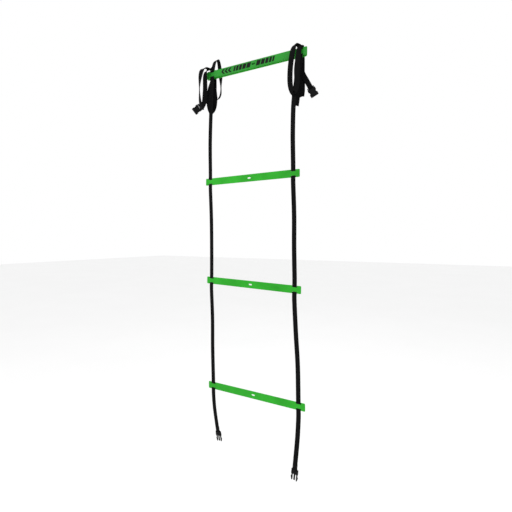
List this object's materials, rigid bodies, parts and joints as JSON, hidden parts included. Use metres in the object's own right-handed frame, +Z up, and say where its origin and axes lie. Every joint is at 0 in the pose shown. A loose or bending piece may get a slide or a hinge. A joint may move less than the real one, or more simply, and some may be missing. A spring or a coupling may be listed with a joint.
{
  "type": "agility ladder",
  "caption": "Flat plastic rungs on two webbing side straps with side-release buckle ends, hung from its top rung, partly folded.",
  "frame": {"origin": "centre of the first (top) rung, in the middle of its hang slot", "axes": "+X along the first rung towards its right end, +Z up, -Y out of the front face"},
  "size_m": [0.5858, 0.1138, 1.6983],
  "materials": {
    "top_rung_plastic": "satin moulded green plastic",
    "rung_plastic": "satin moulded green plastic",
    "webbing": "woven black polyester webbing",
    "buckle_plastic": "satin black plastic",
    "thread": "black sewing thread"
  },
  "bodies": {
    "folded_rungs": {"left_back_loop": "webbing", "left_front_loop": "webbing", "left_hanging_loop": "webbing", "left_webbing_in_rung_1": "webbing", "left_webbing_in_rung_5": "webbing", "left_webbing_in_rung_6": "webbing", "left_webbing_in_rung_7": "webbing", "right_back_loop": "webbing", "right_front_loop": "webbing", "right_hanging_loop": "webbing", "right_webbing_in_rung_1": "webbing", "right_webbing_in_rung_5": "webbing", "right_webbing_in_rung_6": "webbing", "right_webbing_in_rung_7": "webbing", "rung_1": "top_rung_plastic", "rung_5": "rung_plastic", "rung_6": "rung_plastic", "rung_7": "rung_plastic", "left_top_tail": "webbing", "left_top_tail_stitching": "thread", "right_top_tail": "webbing", "right_top_tail_stitching": "thread"},
    "bay_1_upper": {"left_webbing_bay_1_upper": "webbing", "right_webbing_bay_1_upper": "webbing"},
    "bay_1_lower": {"left_webbing_bay_1_lower": "webbing", "right_webbing_bay_1_lower": "webbing"},
    "rung_2": {"rung_2": "rung_plastic", "left_webbing_in_rung_2": "webbing", "right_webbing_in_rung_2": "webbing"},
    "bay_2_upper": {"left_webbing_bay_2_upper": "webbing", "right_webbing_bay_2_upper": "webbing"},
    "bay_2_lower": {"left_webbing_bay_2_lower": "webbing", "right_webbing_bay_2_lower": "webbing"},
    "rung_3": {"rung_3": "rung_plastic", "left_webbing_in_rung_3": "webbing", "right_webbing_in_rung_3": "webbing"},
    "bay_3_upper": {"left_webbing_bay_3_upper": "webbing", "right_webbing_bay_3_upper": "webbing"},
    "bay_3_lower": {"left_webbing_bay_3_lower": "webbing", "right_webbing_bay_3_lower": "webbing"},
    "rung_4": {"rung_4": "rung_plastic", "left_webbing_in_rung_4": "webbing", "right_webbing_in_rung_4": "webbing"},
    "left_bottom_tail": {"left_bottom_tail": "webbing", "left_bottom_tail_stitching": "thread"},
    "left_male_buckle": {"left_male_buckle": "buckle_plastic"},
    "left_buckle_prong_inner": {"left_buckle_prong_inner": "buckle_plastic"},
    "left_buckle_prong_outer": {"left_buckle_prong_outer": "buckle_plastic"},
    "left_female_buckle": {"left_female_buckle": "buckle_plastic"},
    "right_bottom_tail": {"right_bottom_tail": "webbing", "right_bottom_tail_stitching": "thread"},
    "right_male_buckle": {"right_male_buckle": "buckle_plastic"},
    "right_buckle_prong_inner": {"right_buckle_prong_inner": "buckle_plastic"},
    "right_buckle_prong_outer": {"right_buckle_prong_outer": "buckle_plastic"},
    "right_female_buckle": {"right_female_buckle": "buckle_plastic"}
  },
  "joints": [
    {"name": "bay_1_swing", "type": "hinge", "parent": "folded_rungs", "child": "bay_1_upper", "pos_m": [0, -0.00235, -0.023], "axis": [-1, 0, 0], "range_deg": [-1, 4]},
    {"name": "bay_1_fold", "type": "hinge", "parent": "bay_1_upper", "child": "bay_1_lower", "pos_m": [-0.01764, -0.01174, -0.23017], "axis": [-0.9993, 0.037, 0.0012], "range_deg": [0, 100]},
    {"name": "rung_2_level", "type": "hinge", "parent": "bay_1_lower", "child": "rung_2", "pos_m": [-0.01973, 0.00004, -0.4374], "axis": [-0.9968, 0.0797, 0.0026], "range_deg": [-100, 0]},
    {"name": "bay_2_swing", "type": "hinge", "parent": "rung_2", "child": "bay_2_upper", "pos_m": [-0.02025, -0.00494, -0.4834], "axis": [-0.9968, 0.0797, 0.0026], "range_deg": [-40, 45]},
    {"name": "bay_2_fold", "type": "hinge", "parent": "bay_2_upper", "child": "bay_2_lower", "pos_m": [-0.01549, -0.00921, -0.6771], "axis": [-0.9967, 0.0807, 0.0117], "range_deg": [0, 168]},
    {"name": "rung_3_level", "type": "hinge", "parent": "bay_2_lower", "child": "rung_3", "pos_m": [-0.01441, 0.0015, -0.87081], "axis": [-0.9965, 0.0811, 0.0208], "range_deg": [-168, 0]},
    {"name": "bay_3_swing", "type": "hinge", "parent": "rung_3", "child": "bay_3_upper", "pos_m": [-0.01577, -0.0034, -0.9168], "axis": [-0.9965, 0.0811, 0.0208], "range_deg": [-40, 45]},
    {"name": "bay_3_fold", "type": "hinge", "parent": "bay_3_upper", "child": "bay_3_lower", "pos_m": [-0.00922, -0.00522, -1.1183], "axis": [-0.9978, 0.0658, 0.0024], "range_deg": [0, 168]},
    {"name": "rung_4_level", "type": "hinge", "parent": "bay_3_lower", "child": "rung_4", "pos_m": [-0.00492, 0.00737, -1.3198], "axis": [-0.9984, 0.0534, -0.0159], "range_deg": [-168, 0]},
    {"name": "left_bottom_tail_swing", "type": "hinge", "parent": "rung_4", "child": "left_bottom_tail", "pos_m": [-0.21214, 0.01344, -1.3691], "axis": [-0.9984, 0.0534, -0.0159], "range_deg": [-60, 75]},
    {"name": "left_male_buckle_tilt", "type": "hinge", "parent": "left_bottom_tail", "child": "left_male_buckle", "pos_m": [-0.19391, 0.0237, -1.54663], "axis": [-0.99, 0.0611, -0.1275], "range_deg": [-50, 50]},
    {"name": "left_buckle_prong_inner_squeeze", "type": "hinge", "parent": "left_male_buckle", "child": "left_buckle_prong_inner", "pos_m": [-0.18172, 0.02398, -1.56116], "axis": [0.0533, 0.9966, 0.0636], "range_deg": [0, 6]},
    {"name": "left_buckle_prong_outer_squeeze", "type": "hinge", "parent": "left_male_buckle", "child": "left_buckle_prong_outer", "pos_m": [-0.20191, 0.02522, -1.56377], "axis": [-0.0533, -0.9966, -0.0636], "range_deg": [0, 6]},
    {"name": "left_female_buckle_tilt", "type": "hinge", "parent": "folded_rungs", "child": "left_female_buckle", "pos_m": [-0.28553, 0.01174, -0.12223], "axis": [-0.4835, -0.386, 0.7857], "range_deg": [-35, 35]},
    {"name": "right_bottom_tail_swing", "type": "hinge", "parent": "rung_4", "child": "right_bottom_tail", "pos_m": [0.20322, -0.00877, -1.36249], "axis": [-0.9984, 0.0534, -0.0159], "range_deg": [-60, 75]},
    {"name": "right_male_buckle_tilt", "type": "hinge", "parent": "right_bottom_tail", "child": "right_male_buckle", "pos_m": [0.18892, -0.00983, -1.58244], "axis": [-0.9948, 0.0554, 0.0853], "range_deg": [-50, 50]},
    {"name": "right_buckle_prong_inner_squeeze", "type": "hinge", "parent": "right_male_buckle", "child": "right_buckle_prong_inner", "pos_m": [0.17738, -0.00961, -1.59751], "axis": [-0.0534, -0.9982, 0.0263], "range_deg": [0, 6]},
    {"name": "right_buckle_prong_outer_squeeze", "type": "hinge", "parent": "right_male_buckle", "child": "right_buckle_prong_outer", "pos_m": [0.19768, -0.01074, -1.59925], "axis": [0.0534, 0.9982, -0.0263], "range_deg": [0, 6]},
    {"name": "right_female_buckle_tilt", "type": "hinge", "parent": "folded_rungs", "child": "right_female_buckle", "pos_m": [0.2335, 0.03554, -0.13021], "axis": [-0.8622, -0.1972, -0.4667], "range_deg": [-35, 35]}
  ],
  "couplings": [
    {"joint": "rung_2_level", "follows": "bay_1_fold", "ratio": -1},
    {"joint": "rung_3_level", "follows": "bay_2_fold", "ratio": -1},
    {"joint": "rung_4_level", "follows": "bay_3_fold", "ratio": -1},
    {"joint": "left_buckle_prong_inner_squeeze", "follows": "left_buckle_prong_outer_squeeze", "ratio": 1},
    {"joint": "right_buckle_prong_inner_squeeze", "follows": "right_buckle_prong_outer_squeeze", "ratio": 1}
  ]
}
